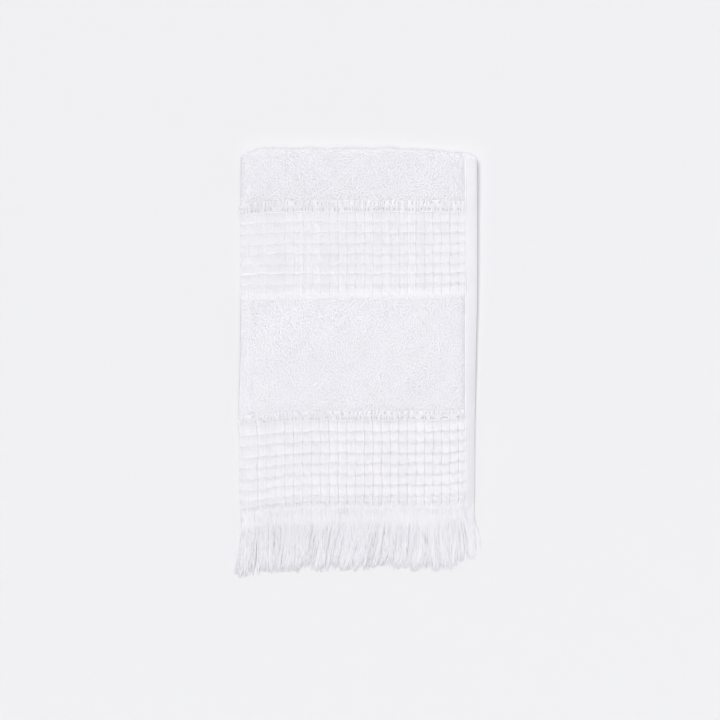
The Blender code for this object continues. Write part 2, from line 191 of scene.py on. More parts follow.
pile = dict(
    sink=0.0006,  # the ground of the terry lies this far below the tops of its loops
    pitch=0.0016,
    foldPitch=0.0021,  # round the folds
    jitter=0.36,  # in pitches
    height=0.00075,
    halfWidth=0.00068,
    arc=(-25, 50, 130, 205),  # points of a loop, in degrees
    lean=0.0006,
    yarnRadius=0.00044,
    yarnFlat=0.45,
    fray=0.003,  # length over which the loops thin out at the end of the wide terry band
    pastEnd=0.002,  # and how far past it that ends
    ragged=0.001,  # how far that end strays: sines across the towel, and chance
    fromHem=0.0136,  # where the loops end beside the hem
)

longWaves = dict(  # long soft waves of the top layer: crests a metre across and along, and their height
    across=(9.0, 4.0, 14.0, 2.0),
    along=(3.0, 11.0, 8.0, 17.0),
    phase=(0.6, 2.1, 4.0, 5.2),
    height=(0.0004, 0.00035, 0.0002, 0.00015),
)

wander = dict(  # how the weave strays from straight, in waves of the same kind
    across=(16.0, 41.0, 83.0),
    along=(23.0, 37.0, 61.0),
    phase=(1.0, 3.3, 0.4),
    height=(0.00035, 0.00022, 0.00012),
)
wanderEnds = {"hem": 0.014, "soft": 0.01}  # the hem and the fold stay straight

halfWidth = towel["width"] / 2
halfGap = towel["layerGap"] / 2
stackHeight = 4 * bands[0]["thick"] + 3 * towel["layerGap"]
halfStack = stackHeight / 2


def fromTable(table, place, column):
    # A smooth curve through a table's rows: cubic pieces that take their slopes from the neighbouring rows.
    x = np.array(next(iter(table.values())))
    y = np.array(table[column])
    slope = np.gradient(y, x)
    place = np.clip(place, x[0], x[-1])
    k = np.clip(np.searchsorted(x, place) - 1, 0, len(x) - 2)
    step = x[k + 1] - x[k]
    t = (place - x[k]) / step
    start = y[k] * (1 + 2 * t) * (1 - t) ** 2 + step * slope[k] * t * (1 - t) ** 2
    return start + y[k + 1] * t**2 * (3 - 2 * t) + step * slope[k + 1] * t**2 * (t - 1)


def tableAt(table, place, column):
    # Straight lines between a table's rows.
    return np.interp(place, np.array(next(iter(table.values()))), np.array(table[column]))


def ease(t):
    # From 0 to 1 along a smooth step.
    t = np.clip(t, 0, 1)
    return t**2 * (3 - 2 * t)


def within(distance, start, end, soft):
    # 1 inside a stretch, easing to 0 over a soft length inside each of its ends.
    return ease((distance - start) / soft) * ease((end - distance) / soft)


def sideShare(inward, reach):
    # 1 at a side, falling evenly to 0 at its reach.
    return np.clip(1 - inward / reach, 0, 1)


def waveSum(table, x, y, wave=np.sin):
    # Straight waves added up, each a sine of its crests across and along.
    total = 0
    for across, along, phase, height in zip(*table.values()):
        total = total + height * wave(2 * pi * (across * x + along * y) + phase)
    return total


def faceShare(kind, distance):
    # How much a place belongs to one kind of face: 1 inside its bands, with soft ends.
    weave, soft, before, after = bandEnds[kind]
    woven = [band for band in bands if band["weave"] == weave]
    return sum(within(distance, band["start"] - before, band["end"] + after, soft) for band in woven)


def thicknessAt(distance):
    # Each band's thickness, with an eased ledge on the thicker side of each change.
    thick = np.full(np.shape(distance), bands[0]["thick"])
    for before, band in zip(bands, bands[1:]):
        rise = band["thick"] - before["thick"]
        ledge = band.get("ledge", towel["ledge"])
        start = band["start"] - (ledge if rise < 0 else 0)
        thick = thick + rise * ease((distance - start) / ledge)
    return thick


places = np.linspace(0, towel["wovenLength"], 800)
settled = np.max(  # the thickness the upper layers rest on, past the end of each thick band too
    thicknessAt(places) - towel["settlingSlope"] * abs(places - places[:, None]), axis=1
)
average = np.ones(towel["settlingSpan"]) / towel["settlingSpan"]
settled = np.convolve(np.pad(settled, towel["settlingSpan"] // 2, "edge"), average, "valid")


def rowShift(x, distance):
    # Squares of the part of each side's reach: they bend a row of the weave along y.
    foldPart = sideShare(x + halfWidth, fromTable(bends, distance, "foldReach"))
    hemPart = sideShare(halfWidth - x, fromTable(bends, distance, "hemReach"))
    rise = fromTable(bends, distance, "hemRise") * hemPart**2
    return rise - fromTable(bends, distance, "foldDroop") * foldPart**2


def cornerInset(radius, fromTop):
    # A quarter circle seen from above draws the edge in beside the cross fold.
    below = np.clip(radius - fromTop, 0, radius)
    return radius - np.sqrt(radius**2 - below**2)


def longPlace(along):
    # Where a line across the towel lies. along is measured on the outer face: above 0 it runs down the upper
    # half, and below 0 round the cross fold in a half circle and then down the lower half.
    angle = np.clip(-np.asarray(along) / halfStack, 0, pi)
    onRound = (angle > 0) & (angle < pi)
    distance = halfStack + np.where(angle > 0, np.maximum(-along - pi * halfStack, 0), along)
    felt = np.where(onRound, halfStack * (1 - np.sin(angle)), distance)
    thick = thicknessAt(distance)
    inset = pile["sink"] * faceShare("loops", distance)  # room for loops and yarns on the fold
    inset = inset + waffle["edgeInset"] * faceShare("yarns", distance)
    hemCorner = cornerInset(towel["hemCorner"], felt)
    pivot = bands[0]["thick"] + towel["layerGap"]
    low = thick + halfGap
    high = low + 2 * np.maximum(thick, np.interp(distance, places, settled)) + 2 * towel["layerGap"]
    lower = ease(angle / pi)  # 0 on the upper half, 1 on the lower

    def edge(upperSide, lowerSide):
        upper = fromTable(edges, felt, upperSide)
        return upper + lower * (fromTable(edges, felt, lowerSide) - upper)

    return SimpleNamespace(
        distance=distance,
        hem=fromTable(hemAlong, distance, "scale"),
        angle=angle,
        thick=thick,
        left=inset - halfWidth - edge("foldTop", "foldUnder") + cornerInset(towel["foldCorner"], felt),
        right=halfWidth + edge("hemFace", "hemBottom") - hemCorner,
        rightInner=halfWidth + edge("hemSecond", "hemThird") - hemCorner,
        upper=np.cos(angle / 2) ** 2,
        y=towel["foldY"] - distance + np.where(onRound, pivot * np.sin(angle), 0),
        z=np.where(onRound, halfStack + pivot * np.cos(angle), np.where(angle > 0, low, high)),
    )


def crownAt(distance):
    # How much the stack swells in a terry band: a squared sine along it.
    crown = 0
    for band in bands:
        part = np.clip((distance - band["start"]) / (band["end"] - band["start"]), 0, 1)
        crown = crown + band.get("crown", 0) * np.sin(pi * part) ** 2
    return crown


def lowered(x, z, distance):
    # The stack swells by its crown, and is pressed flatter towards its sides by powers of their shares.
    left, right = x + halfWidth, halfWidth - x
    fall = pressed["foldFall"] * sideShare(left, pressed["fold"]) ** 2
    for name, power in (("hem", 2), ("far", 2), ("edge", pressed["edgePower"])):
        fall = fall + fromTable(falls, distance, name) * sideShare(right, pressed[name]) ** power
    crown = crownAt(distance) * ease(left / pressed["crownFold"]) * ease(right / pressed["crownHem"])
    return z * (1 + (crown - fall) / stackHeight)


def columnRoom(place):
    # Where the waffle's first column starts and how wide all of them are, measured on the cloth.
    start = waffle["firstColumn"] + towel["foldArc"] - towel["foldReach"]
    return start, place.right - hem["groove"] * place.hem - place.left - waffle["firstColumn"]


def columnS(number, place):
    # A column's place is t + c t (1 - t) of their width.
    t = number / waffle["columns"]
    start, width = columnRoom(place)
    return start + width * (t + waffle["narrowing"] * t * (1 - t))


def sag(column):
    # A crosswise ridge hangs in shallow arcs, a squared sine from column to column.
    return waffle["sag"] * np.sin(pi * column) ** 2


def cellGrid(s, place):
    # Columns and rows counted in cells: a column's number comes from the square root that undoes columnS.
    start, width = columnRoom(place)
    part = np.clip((s - start) / width, -0.1, 1)
    c = waffle["narrowing"]
    column = waffle["columns"] * ((1 + c) - np.sqrt((1 + c) ** 2 - 4 * c * part)) / (2 * c)
    row = 0
    for band in bands:
        if band["weave"] == "waffle":
            share = (place.distance - band["start"]) / (band["end"] - band["start"])
            row = row + waffle["rows"] * np.clip(share, 0, 1)
    return column, row - sag(column)


def toRidge(number):
    # 0 on the nearest ridge, 1 in the middle of a cell.
    return 2 * abs(number - np.round(number))


def hollow(number, drop):
    # A cell's depth from one ridge to the next: it falls to 1 in a smooth step just past the ridge, as the
    # yarns lean there, and comes back in a straight rise.
    part = number - np.floor(number)
    return np.minimum(ease(part / drop), (1 - part) / (1 - drop))


def relief(s, x, place):
    # The outer face's own shape: a hollow in each cell of the waffle, the terry's ground below its loops, the
    # troughs of loose picks, long waves, the hem's ridge, groove and rounded edge, and a valley beside the
    # groove that rises again as an exponential.
    column, row = cellGrid(s, place)
    share = np.clip(column / waffle["columns"], 0, 1)
    kept, more = waffle["rowKept"]
    rowPart = waffle["rowDepth"] * hollow(row, waffle["rowDrop"]) * (kept + more * share)
    kept = fromTable(waffle["columnPart"], share, "kept")
    columnPart = waffle["columnDepth"] * hollow(column, waffle["columnDrop"]) * kept
    cell = np.minimum(rowPart + columnPart, waffle["deepest"])
    depth = fromTable(waffle["alongPart"], place.distance, "kept") * cell * faceShare("cells", place.distance)
    depth = depth + waffle["bed"] * faceShare("bed", place.distance)
    onPile = ease((pi - place.angle) / 0.5)  # the underside on the floor has no loops
    depth = depth + onPile * pile["sink"] * faceShare("loops", place.distance)
    depth = depth + waffle["looseTrough"] * faceShare("trough", place.distance)
    fromEdge = (place.right - x) / place.hem
    depth = depth * ease((fromEdge - hem["fade"]) / 0.0008) * ease(s / 0.002)
    rise = tableAt(hemShape, fromEdge, "rise")
    opened = fromTable(hemAlong, place.distance, "groove")
    rise = np.where((fromEdge > hem["grooveFrom"]) & (rise < 0), rise * opened, rise)
    away = fromEdge - hem["groove"]
    valley = np.where(away > 0, np.exp(-away / hem["valleyReach"]), 1)
    valley = fromTable(hemAlong, place.distance, "valley") * valley
    valley = valley * ease((fromEdge - hem["valleyFrom"]) / 0.0006)
    lift = waveSum(longWaves, x, place.distance) + rise - valley
    lift = lift * place.upper * ease(s / 0.006)
    return lift - depth - hem["roundDrop"] * place.thick * sideShare(fromEdge, hem["round"]) ** 2


def foldTable():
    # The fold's rounding is a superellipse: its points in from the edge and up, each as a part of the whole,
    # beside their distance on the cloth, added up over short steps.
    turn = np.linspace(0, pi / 2, 400)
    power = 2 / towel["foldFullness"]
    inward, up = 1 - np.cos(turn) ** power, np.sin(turn) ** power
    steps = np.hypot(np.diff(inward) * towel["foldReach"], np.diff(up) * towel["foldHeight"])
    run = np.append(0, np.cumsum(steps))
    return run / run[-1] * towel["foldArc"], inward, up


foldRun, foldInward, foldUp = foldTable()


def acrossPoint(s, place):
    # A place on the outer face by its distance s from the lengthwise fold, measured on the cloth: below 0 it
    # is on the layer underneath.
    inward = np.interp(abs(s), foldRun, foldInward)
    reach = towel["foldReach"] * inward + np.maximum(abs(s) - towel["foldArc"], 0)
    return place.left + reach, np.sign(s) * (halfGap + place.thick) * np.interp(abs(s), foldRun, foldUp)


def acrossOf(x, place):
    # The distance s of a place on the outer face from its x.
    reach = x - place.left
    past = np.maximum(reach - towel["foldReach"], 0)
    return np.interp(reach / towel["foldReach"], foldInward, foldRun) + past


def worldPoint(x, height, place):
    # A point of the section, carried to its place: height stands square to the pair of layers, and the weave
    # wanders inside its sides.
    inside = within(x, -halfWidth, halfWidth - wanderEnds["hem"], wanderEnds["soft"])
    strayX = waveSum(wander, x, -place.distance)
    strayY = waveSum(wander, place.distance, x, np.cos)
    y = place.y + rowShift(x, place.distance) + height * np.sin(place.angle) + strayY * inside
    z = lowered(x, place.z + height * np.cos(place.angle), place.distance)
    return np.stack(np.broadcast_arrays(x + strayX * inside, y, z), axis=-1)


def facePoint(s, along, shaped=1.0):
    # A point of the outer face, with its relief or without it.
    place = longPlace(along)
    x, height = acrossPoint(s, place)
    return worldPoint(x, height + shaped * np.where(s > 0, relief(s, x, place), 0), place)


def faceFrame(s, along):
    # A point of the outer face, and the directions across, along and outwards there, from steps to near
    # points on the face without its relief.
    step = 0.0005
    across = unit(facePoint(s + step, along, 0) - facePoint(s - step, along, 0))
    down = unit(facePoint(s, along + step, 0) - facePoint(s, along - step, 0))
    return facePoint(s, along), across, down, unit(np.cross(down, across))


def unit(vectors):
    # Directions of length 1.
    return vectors / np.linalg.norm(vectors, axis=-1, keepdims=True)


# ---- meshes


def addPiece(name, points, faces, uv, *materials, slots=None, ring=0):
    # A mesh from whole arrays. faces is a list of arrays of corners, each array with one number of corners,
    # and slots gives each face's material. Yarns, with ring points round them, are shaded smooth only
    # lengthwise, with their end caps apart.
    corners = np.concatenate([f.ravel() for f in faces]).astype(np.int32)
    counts = np.concatenate([np.full(len(f), f.shape[1]) for f in faces])
    starts = np.concatenate([[0], np.cumsum(counts)[:-1]]).astype(np.int32)
    mesh = bpy.data.meshes.new(name)
    mesh.vertices.add(len(points))
    mesh.vertices.foreach_set("co", points.astype(np.float32).ravel())
    mesh.loops.add(len(corners))
    mesh.loops.foreach_set("vertex_index", corners)
    mesh.polygons.add(len(counts))
    mesh.polygons.foreach_set("loop_start", starts)
    mesh.update(calc_edges=True)
    layer = mesh.uv_layers.new(name="cloth")
    layer.data.foreach_set("uv", uv[corners].astype(np.float32).ravel())
    mesh.shade_smooth()
    if ring:
        ends = np.empty(2 * len(mesh.edges), dtype=np.int32)
        mesh.edges.foreach_get("vertices", ends)
        ends = ends.reshape(-1, 2)
        atCap = np.zeros(len(points), dtype=bool)
        atCap[np.concatenate([f.ravel() for f in faces if f.shape[1] == ring])] = True
        sharp = mesh.attributes.new("sharp_edge", "BOOLEAN", "EDGE")
        sharp.data.foreach_set("value", (ends[:, 0] // ring != ends[:, 1] // ring) | atCap[ends].all(axis=1))
    for material in materials:
        mesh.materials.append(material)
    if slots is not None:
        mesh.polygons.foreach_set("material_index", slots.astype(np.int32))
    piece = bpy.data.objects.new(name, mesh)
    bpy.context.collection.objects.link(piece)
    print(f"{name}: {int((counts - 2).sum())} triangles")
    return piece


def tubes(paths, radius, side, sides=3, flat=1.0, roof=False):
    # Yarns along many paths at once: a ring of points stands round each point of a path, from its sideways
    # direction towards the one square to that and to the path, with a side of it facing outwards, or an edge
    # for a roof. A pressed yarn is flatter there. Both ends are closed. Its pattern starts at random.
    count, steps, _ = paths.shape
    ahead = unit(np.gradient(paths, axis=1))
    side = np.broadcast_to(side, paths.shape)
    side = unit(side - ahead * (side * ahead).sum(-1, keepdims=True))
    up = np.cross(ahead, side)
    turn = 2 * pi * np.arange(sides) / sides + (pi / 2 if roof else -pi / 2)
    ring = np.cos(turn)[:, None] * side[:, :, None] + flat * np.sin(turn)[:, None] * up[:, :, None]
    radius = np.broadcast_to(radius, (count, steps))
    points = paths[:, :, None] + radius[:, :, None, None] * ring
    number = np.arange(count * steps * sides).reshape(count, steps, sides)
    after = np.roll(number, -1, axis=2)
    quads = np.stack([number[:, :-1], after[:, :-1], after[:, 1:], number[:, 1:]], axis=-1)
    length = np.linalg.norm(np.diff(paths, axis=1), axis=-1)
    run = np.concatenate([np.zeros((count, 1)), np.cumsum(length, axis=1)], axis=1)
    u = np.broadcast_to((run + dice.uniform(0, 0.05, (count, 1)))[:, :, None], number.shape)
    v = np.broadcast_to(np.arange(sides) / sides * 0.003, number.shape)
    uv = np.stack([u, v], axis=-1).reshape(-1, 2)
    faces = [quads.reshape(-1, 4), number[:, 0, ::-1], number[:, -1]]
    return points.reshape(-1, 3), faces, uv


def joined(parts):
    # Several sets of points, faces and uv as one.
    points = np.concatenate([part[0] for part in parts])
    starts = np.concatenate([[0], np.cumsum([len(part[0]) for part in parts])[:-1]])
    faces = [face + start for part, start in zip(parts, starts) for face in part[1]]
    return points, faces, np.concatenate([part[2] for part in parts])

# ---- materials


def linear(code):
    # An sRGB hex colour as linear light.
    parts = [int(code[i : i + 2], 16) / 255 for i in (1, 3, 5)]
    return [c / 12.92 if c <= 0.04045 else ((c + 0.055) / 1.055) ** 2.4 for c in parts] + [1.0]


def addNode(tree, kind, links=None, inputs=None, **settings):
    # A shader node with its settings, its inputs' values and what is linked to them.
    node = tree.nodes.new("ShaderNode" + kind)
    for name, value in settings.items():
        setattr(node, name, value)
    for name, value in (inputs or {}).items():
        node.inputs[name].default_value = value
    for name, socket in (links or {}).items():
        tree.links.new(socket, node.inputs[name])
    return node


cotton = dict(  # bleached, slightly blue from its brightener: two shades, and the height of the pattern
    terry=("#F4F3F8", "#F0EFF4", 0.0001),
    waffleYarn=("#F5F4F8", "#F1F0F4", 0.00008),
    # the fringe's yarns are greyer: painted shade of the gaps between them
    fringeYarn=("#EDEDF1", "#E6E6EB", 0.00008),
    # the ground is darker than the yarns: painted shade of the gaps between loops and yarns
    ground=("#EDECF1", "#E9E8EC", -0.0004),
    # the plain weave is darker than the loose yarns: painted shade of its fine crevices
    plainWeave=("#ECEBEF", "#E8E7EB", 0.00015),
    thread=("#E4E3E7", "#DEDDE2", 0.00005),
    roughness=0.92,
    specular=0.2,
    fuzz=0.05,  # sheen of the fibre ends
    pileFuzz=0.3,  # and of the loops' many more
    fuzzRoughness=0.5,
    bump=0.6,
    fibreShare=0.35,  # of the pattern's height
    clouds=55.0,  # 18 mm from one paler patch to the next
    fibres=2600.0,  # 0.4 mm clumps, far coarser than the real fibres of 0.02 mm
    clumps=820.0,  # 1.2 mm from one to the next
    ribs=700.0,  # ribs of a twisted yarn 0.45 mm apart: a wave repeats each 2 pi / 20 / scale metres
    ribSlant=35.0,
    ribStray=0.6,
    ridges=350.0,  # yarns of the plain weave 0.9 mm apart, coarser than the real 0.5 mm
    ridgeStray=0.4,
    checks=1100.0,  # their crossings, 0.9 mm apart too
)


def cottonMaterial(name, key, makeRelief, fuzz=cotton["fuzz"]):
    # Bleached cotton has no gloss, a soft sheen of fibre ends, and faint paler patches left by washing.
    # makeRelief adds the height of its yarns.
    shade, otherShade, distance = cotton[key]
    material = bpy.data.materials.new(name)
    material.use_nodes = True
    tree = material.node_tree
    tree.nodes.clear()
    place = addNode(tree, "TexCoord")
    where = {"Vector": place.outputs["Object"]}
    cloud = addNode(tree, "TexNoise", where, {"Scale": cotton["clouds"], "Detail": 3.0})
    fibre = addNode(tree, "TexNoise", where, {"Scale": cotton["fibres"], "Detail": 2.0})
    shades = {"A": linear(shade), "B": linear(otherShade)}
    colour = addNode(tree, "Mix", {"Factor": cloud.outputs["Fac"]}, shades, data_type="RGBA")
    heights = {"A": makeRelief(tree, place.outputs["UV"]), "B": fibre.outputs["Fac"]}
    height = addNode(tree, "Mix", heights, {"Factor": cotton["fibreShare"]})
    raised = {"Strength": cotton["bump"], "Distance": distance}
    bump = addNode(tree, "Bump", {"Height": height.outputs["Result"]}, raised)
    shine = {
        "Roughness": cotton["roughness"],
        "Specular IOR Level": cotton["specular"],
        "Sheen Weight": fuzz,
        "Sheen Roughness": cotton["fuzzRoughness"],
    }
    seen = {"Base Color": colour.outputs["Result"], "Normal": bump.outputs["Normal"]}
    shader = addNode(tree, "BsdfPrincipled", seen, shine)
    addNode(tree, "OutputMaterial", {"Surface": shader.outputs["BSDF"]})
    return material


def waves(tree, place, scale, stray, turned=0.0):
    # Even ridges across the cloth's own measure, turned by some degrees.
    mapping = addNode(tree, "Mapping", {"Vector": place}, {"Rotation": (0, 0, radians(turned))})
    shape = {"Scale": scale, "Distortion": stray, "Detail": 1.0}
    return addNode(tree, "TexWave", {"Vector": mapping.outputs["Vector"]}, shape).outputs["Fac"]


def twistRelief(tree, place):
    # Two plies twisted together: slanting ribs along a yarn.
    return waves(tree, place, cotton["ribs"], cotton["ribStray"], cotton["ribSlant"])


def pileRelief(tree, place):
    # Rounded clumps, as packed loops and yarns: the distance to scattered points, smoothed.
    clumps = {"Scale": cotton["clumps"]}
    return addNode(tree, "TexVoronoi", {"Vector": place}, clumps, feature="SMOOTH_F1").outputs["Distance"]


def weaveRelief(tree, place):
    # Plain weave: a checker picks which of two crossing sets of ridges is on top.
    mapping = addNode(tree, "Mapping", {"Vector": place})
    checks = addNode(tree, "TexChecker", {"Vector": mapping.outputs["Vector"]}, {"Scale": cotton["checks"]})
    woven = {"Factor": checks.outputs["Fac"]}
    for name, turned in (("A", 0.0), ("B", 90.0)):
        woven[name] = waves(tree, place, cotton["ridges"], cotton["ridgeStray"], turned)
    return addNode(tree, "Mix", woven).outputs["Result"]


# Terry: uncut loops of soft two-ply yarn. Their loose fibres glow at a slant.
terryCotton = cottonMaterial("white_cotton_terry", "terry", twistRelief, cotton["pileFuzz"])
# Waffle weave: the same yarn pressed flat on the loom and washed, which leaves ribs and little fuzz.
waffleCotton = cottonMaterial("white_cotton_waffle_yarn", "waffleYarn", twistRelief)
# The weave's ground: packed yarns seen in the gaps, as clumps, coloured darker than the yarns: painted shade
# of the gaps.
groundPaintedShadeCotton = cottonMaterial("white_cotton_ground_painted_shade", "ground", pileRelief)
# Plain weave: yarns that cross one by one, beaten close, as a fine flat grid, coloured darker than the loose
# yarns: painted shade of its crevices, too fine to model.
plainPaintedShadeCotton = cottonMaterial("white_cotton_plain_weave_painted_shade", "plainWeave", weaveRelief)
# Fringe: warp yarns cut and left hanging, coloured greyer than the other yarns: painted shade of the gaps
# between yarns, too fine to model.
fringePaintedShadeCotton = cottonMaterial("white_cotton_fringe_yarn_painted_shade", "fringeYarn", twistRelief)
# Sewing thread: hard twisted and polished, so its ribs are low and it stands out grey.
threadCotton = cottonMaterial("white_sewing_thread", "thread", twistRelief)
print("materials made")

# ---- the cloth

sheet = dict(
    cellParts=(0.0, 0.15, 0.35),  # where a cell's faces start
    lastParts=(25.85, 25.93, 25.97, 26.0),  # beside the hem's groove
    foldPoints=6,
    terryStep=0.0045,
    roundSteps=24,
    hemPoints=(
        0.012, 0.0118, 0.0114, 0.0107, 0.0098, 0.0085, 0.0068, 0.005, 0.0036, 0.0024, 0.0014, 0.0007, 0.0002,
    ),
    innerFromEdge=0.0068,
)


def stationDistances():
    # Distances of the sections along one half: some for each row of the waffle, even steps elsewhere.
    found = [np.array([halfStack])]
    for band in bands:
        start = max(band["start"], halfStack)
        steps = max(5, round((band["end"] - start) / sheet["terryStep"]))
        parts = np.linspace(0, 1, steps + 1)[1:]
        if band["weave"] == "waffle":
            cells = (np.arange(waffle["rows"])[:, None] + sheet["cellParts"]).ravel()[1:]
            parts = np.append(cells / waffle["rows"], 1.0)
        found.append(start + (band["end"] - start) * parts)
    return np.concatenate(found)


def hemSkin(place, right, side):
    # The round of a hem's edge: part of an ellipse from the face's edge to the hidden side.
    turn = np.linspace(0.25, 1.0, 4)[:, None] * pi / 2
    x = right - 0.0002 + 0.0002 * np.sin(turn)
    return x, side * (halfGap + place.thick * (0.12 + 0.4 * np.cos(turn)))


def insideColumns(cellX, place, right):
    # Where a hidden side has its points: beside the slit, at each ridge of the face, and twice in the hem.
    start = place.left + towel["slitDepth"] * place.thick + towel["layerGap"]
    part = (cellX - place.left) / (place.right - place.left)
    x = place.left + part * (right - place.left)
    tip = right - 0.3 * place.thick
    return np.concatenate([start[None], x, (right - sheet["innerFromEdge"])[None], tip[None]])


def clothRing(place):
    # The section of a pair of layers as a closed loop: its face from the fold to the hem, back along the
    # inside to the slit in the fold, out along the other layer and back along its under side.
    number = (np.arange(1, waffle["columns"])[:, None] + sheet["cellParts"]).ravel()
    cellS = columnS(np.append(number, sheet["lastParts"])[:, None], place)
    foldS = np.linspace(0, 1, sheet["foldPoints"] + 2)[1:-1, None] * cellS[0]
    hemS = acrossOf(place.right - np.array(sheet["hemPoints"])[:, None] * place.hem, place)
    faceS = np.concatenate([foldS, cellS, hemS])
    faceX, faceHeight = acrossPoint(faceS, place)
    ridges = faceX[sheet["foldPoints"] :: len(sheet["cellParts"])][: waffle["columns"]]
    outerIn = insideColumns(ridges, place, place.right)
    inner = insideColumns(ridges, place, place.rightInner)
    underS = -acrossOf(inner[1:][::-1], place)
    underX, underHeight = acrossPoint(underS, place)
    underHeight[0] += 0.25 * place.thick
    lowS = underS[-1] * np.linspace(1, 0, sheet["foldPoints"] + 2)[1:, None]
    slit = (place.left + towel["slitDepth"] * place.thick)[None]
    rows = [
        (faceX, faceHeight + relief(faceS, faceX, place)),
        hemSkin(place, place.right, 1),
        (outerIn[::-1], halfGap + 0 * outerIn),
        (slit, 0 * slit),
        (inner, 0 * inner - halfGap),
        [row[::-1] for row in hemSkin(place, place.rightInner, -1)],
        (underX, underHeight),
        acrossPoint(lowS, place),
    ]
    x, height = (np.concatenate([row[k] for row in rows]) for k in (0, 1))
    return x, height, [len(row[0]) for row in rows]


def buildCloth():
    # One closed sheet: the section's loop carried up the upper half, round the cross fold and down the lower
    # half, with both woven ends closed.
    distances = stationDistances()
    flat = distances - halfStack
    turns = -np.linspace(0, pi, sheet["roundSteps"] + 1)[1:-1] * halfStack
    along = np.concatenate([flat[::-1], turns, -pi * halfStack - flat])
    place = longPlace(along)
    x, height, counts = clothRing(place)
    points = worldPoint(x, height, place).transpose(1, 0, 2)
    stations, around = points.shape[:2]
    number = np.arange(stations * around).reshape(stations, around)
    after = np.roll(number, -1, axis=1)
    quads = np.stack([number[:-1], after[:-1], after[1:], number[1:]], axis=-1).reshape(-1, 4)
    step = np.linalg.norm(np.diff(points, axis=1, prepend=points[:, :1]), axis=-1)
    u = np.cumsum(step, axis=1)
    uv = np.stack([u, np.broadcast_to(along[:, None], u.shape)], axis=-1).reshape(-1, 2)
    ends = endFaces(number[0], counts) + [face[:, ::-1] for face in endFaces(number[-1], counts)]
    # faces under the loops and yarns take the ground's darker colour: painted shade of the gaps
    underYarn = (np.arange(around) < counts[0] - len(sheet["hemPoints"]))[None, :]
    underYarn = underYarn & (place.distance.ravel()[1:, None] < bands[-1]["start"])
    slots = np.concatenate([underYarn.ravel(), np.zeros(sum(len(face) for face in ends))])
    faces = [quads, *ends]
    return addPiece("cotton_cloth", points.reshape(-1, 3), faces, uv, plainPaintedShadeCotton, groundPaintedShadeCotton, slots=slots)


def endFaces(ring, counts):
    # A woven end: quads between the inner layer's two sides, wider faces between the outer layer's, one
    # face beside the fold and one in each hem.
    starts = np.concatenate([[0], np.cumsum(counts)])
    face, end, outerIn, slit, inner, innerEnd, under, low = (ring[a:b] for a, b in zip(starts, starts[1:]))
    outerIn, under = outerIn[::-1], under[::-1]
    firstRidge = sheet["foldPoints"]
    ridges = firstRidge + len(sheet["cellParts"]) * np.arange(waffle["columns"])
    wide = [
        np.concatenate([face[a : b + 1][::-1], outerIn[k : k + 2]])
        for k, (a, b) in enumerate(zip(ridges, ridges[1:]), start=1)
    ]
    hemFace = np.concatenate([end[::-1], face[ridges[-1] :][::-1], outerIn[-3:]])
    foldFace = face[: firstRidge + 1][::-1]
    fold = np.concatenate([foldFace, low[::-1], under[:1], inner[1::-1], slit, outerIn[:2]])
    pairs = np.stack([under[:-1], under[1:], inner[2:], inner[1:-1]], axis=-1)
    tip = np.concatenate([under[-1:], innerEnd[::-1], inner[-1:]])
    return [np.array(wide), hemFace[None], fold[None], pairs, tip[None]]


clothPiece = buildCloth()

# ---- terry loops


def alongAt(distance, lower=False):
    # The outer face's own measure of a distance from the cross fold, on the upper half or the lower.
    flat = distance - halfStack
    return -pi * halfStack - flat if lower else flat


def faceWidth(place):
    # From the lengthwise fold to the last loops beside the hem, measured on the cloth.
    return place.right - pile["fromHem"] * place.hem - place.left + towel["foldArc"] - towel["foldReach"]


# The same for the nominal width, which the stretches of loops are given in.
faceTo = towel["width"] + towel["foldArc"] - towel["foldReach"] - pile["fromHem"]


def terryLoops(name, stretches):
    # Uncut pile: on a jittered grid of the face, each loop is half an ellipse of yarn in a plane turned at
    # random about the outward direction, and its top leans over. Loops thin out at the wide band's end, which
    # strays by two sines and by chance.
    parts = []
    for sFrom, sTo, alongFrom, alongTo, pitch in stretches:
        across = round((sTo - sFrom) / pitch)
        along = round(abs(alongTo - alongFrom) / pitch)
        grid = np.stack(np.meshgrid(np.arange(across), np.arange(along), indexing="ij"), axis=-1)
        grid = grid.reshape(-1, 2) + 0.5
        grid = grid + dice.uniform(-pile["jitter"], pile["jitter"], grid.shape)
        v = alongFrom + grid[:, 1] / along * (alongTo - alongFrom)
        place = longPlace(v)
        s = (sFrom + grid[:, 0] / across * (sTo - sFrom)) * faceWidth(place) / faceTo
        swing = sum(np.sin(s * number + phase) for number, phase in ((290, 1.0), (710, 2.0)))
        swing = swing + dice.normal(0, 0.8, len(s))
        distance = place.distance + pile["ragged"] * swing
        chance = (bands[3]["end"] + pile["pastEnd"] - distance) / pile["fray"]
        kept = dice.uniform(0, 1, len(s)) < chance
        s, v = s[kept], v[kept]
        point, acrossWay, alongWay, outward = faceFrame(s, v)
        turn = dice.uniform(0, pi, len(s))[:, None]
        plane = np.cos(turn) * alongWay + np.sin(turn) * acrossWay
        side = np.cross(plane, outward)
        lean = dice.normal(0, 0.6, (len(s), 2)) * pile["lean"]
        height = pile["height"] * dice.uniform(0.8, 1.15, len(s))
        half = pile["halfWidth"] * dice.uniform(0.8, 1.3, len(s))
        arc = np.radians(pile["arc"])[None, :, None]
        spread = np.cos(arc) * half[:, None, None] * plane[:, None]
        rise = np.sin(arc) * height[:, None, None] * outward[:, None]
        tilt = lean[:, None, :1] * acrossWay[:, None] + lean[:, None, 1:] * alongWay[:, None]
        paths = point[:, None] + spread + rise + np.clip(np.sin(arc), 0, 1) ** 1.5 * tilt
        thick = pile["yarnRadius"] * dice.uniform(0.85, 1.2, len(s))[:, None]
        parts.append(tubes(paths, thick, side[:, None], flat=pile["yarnFlat"], roof=True))
    return addPiece(name, *joined(parts), terryCotton, ring=3)


# ---- waffle yarns


def uneven(numbers):
    # Yarns by their numbers, each strayed at random.
    return (numbers + dice.uniform(-waffle["uneven"], waffle["uneven"], len(numbers)))[:, None]


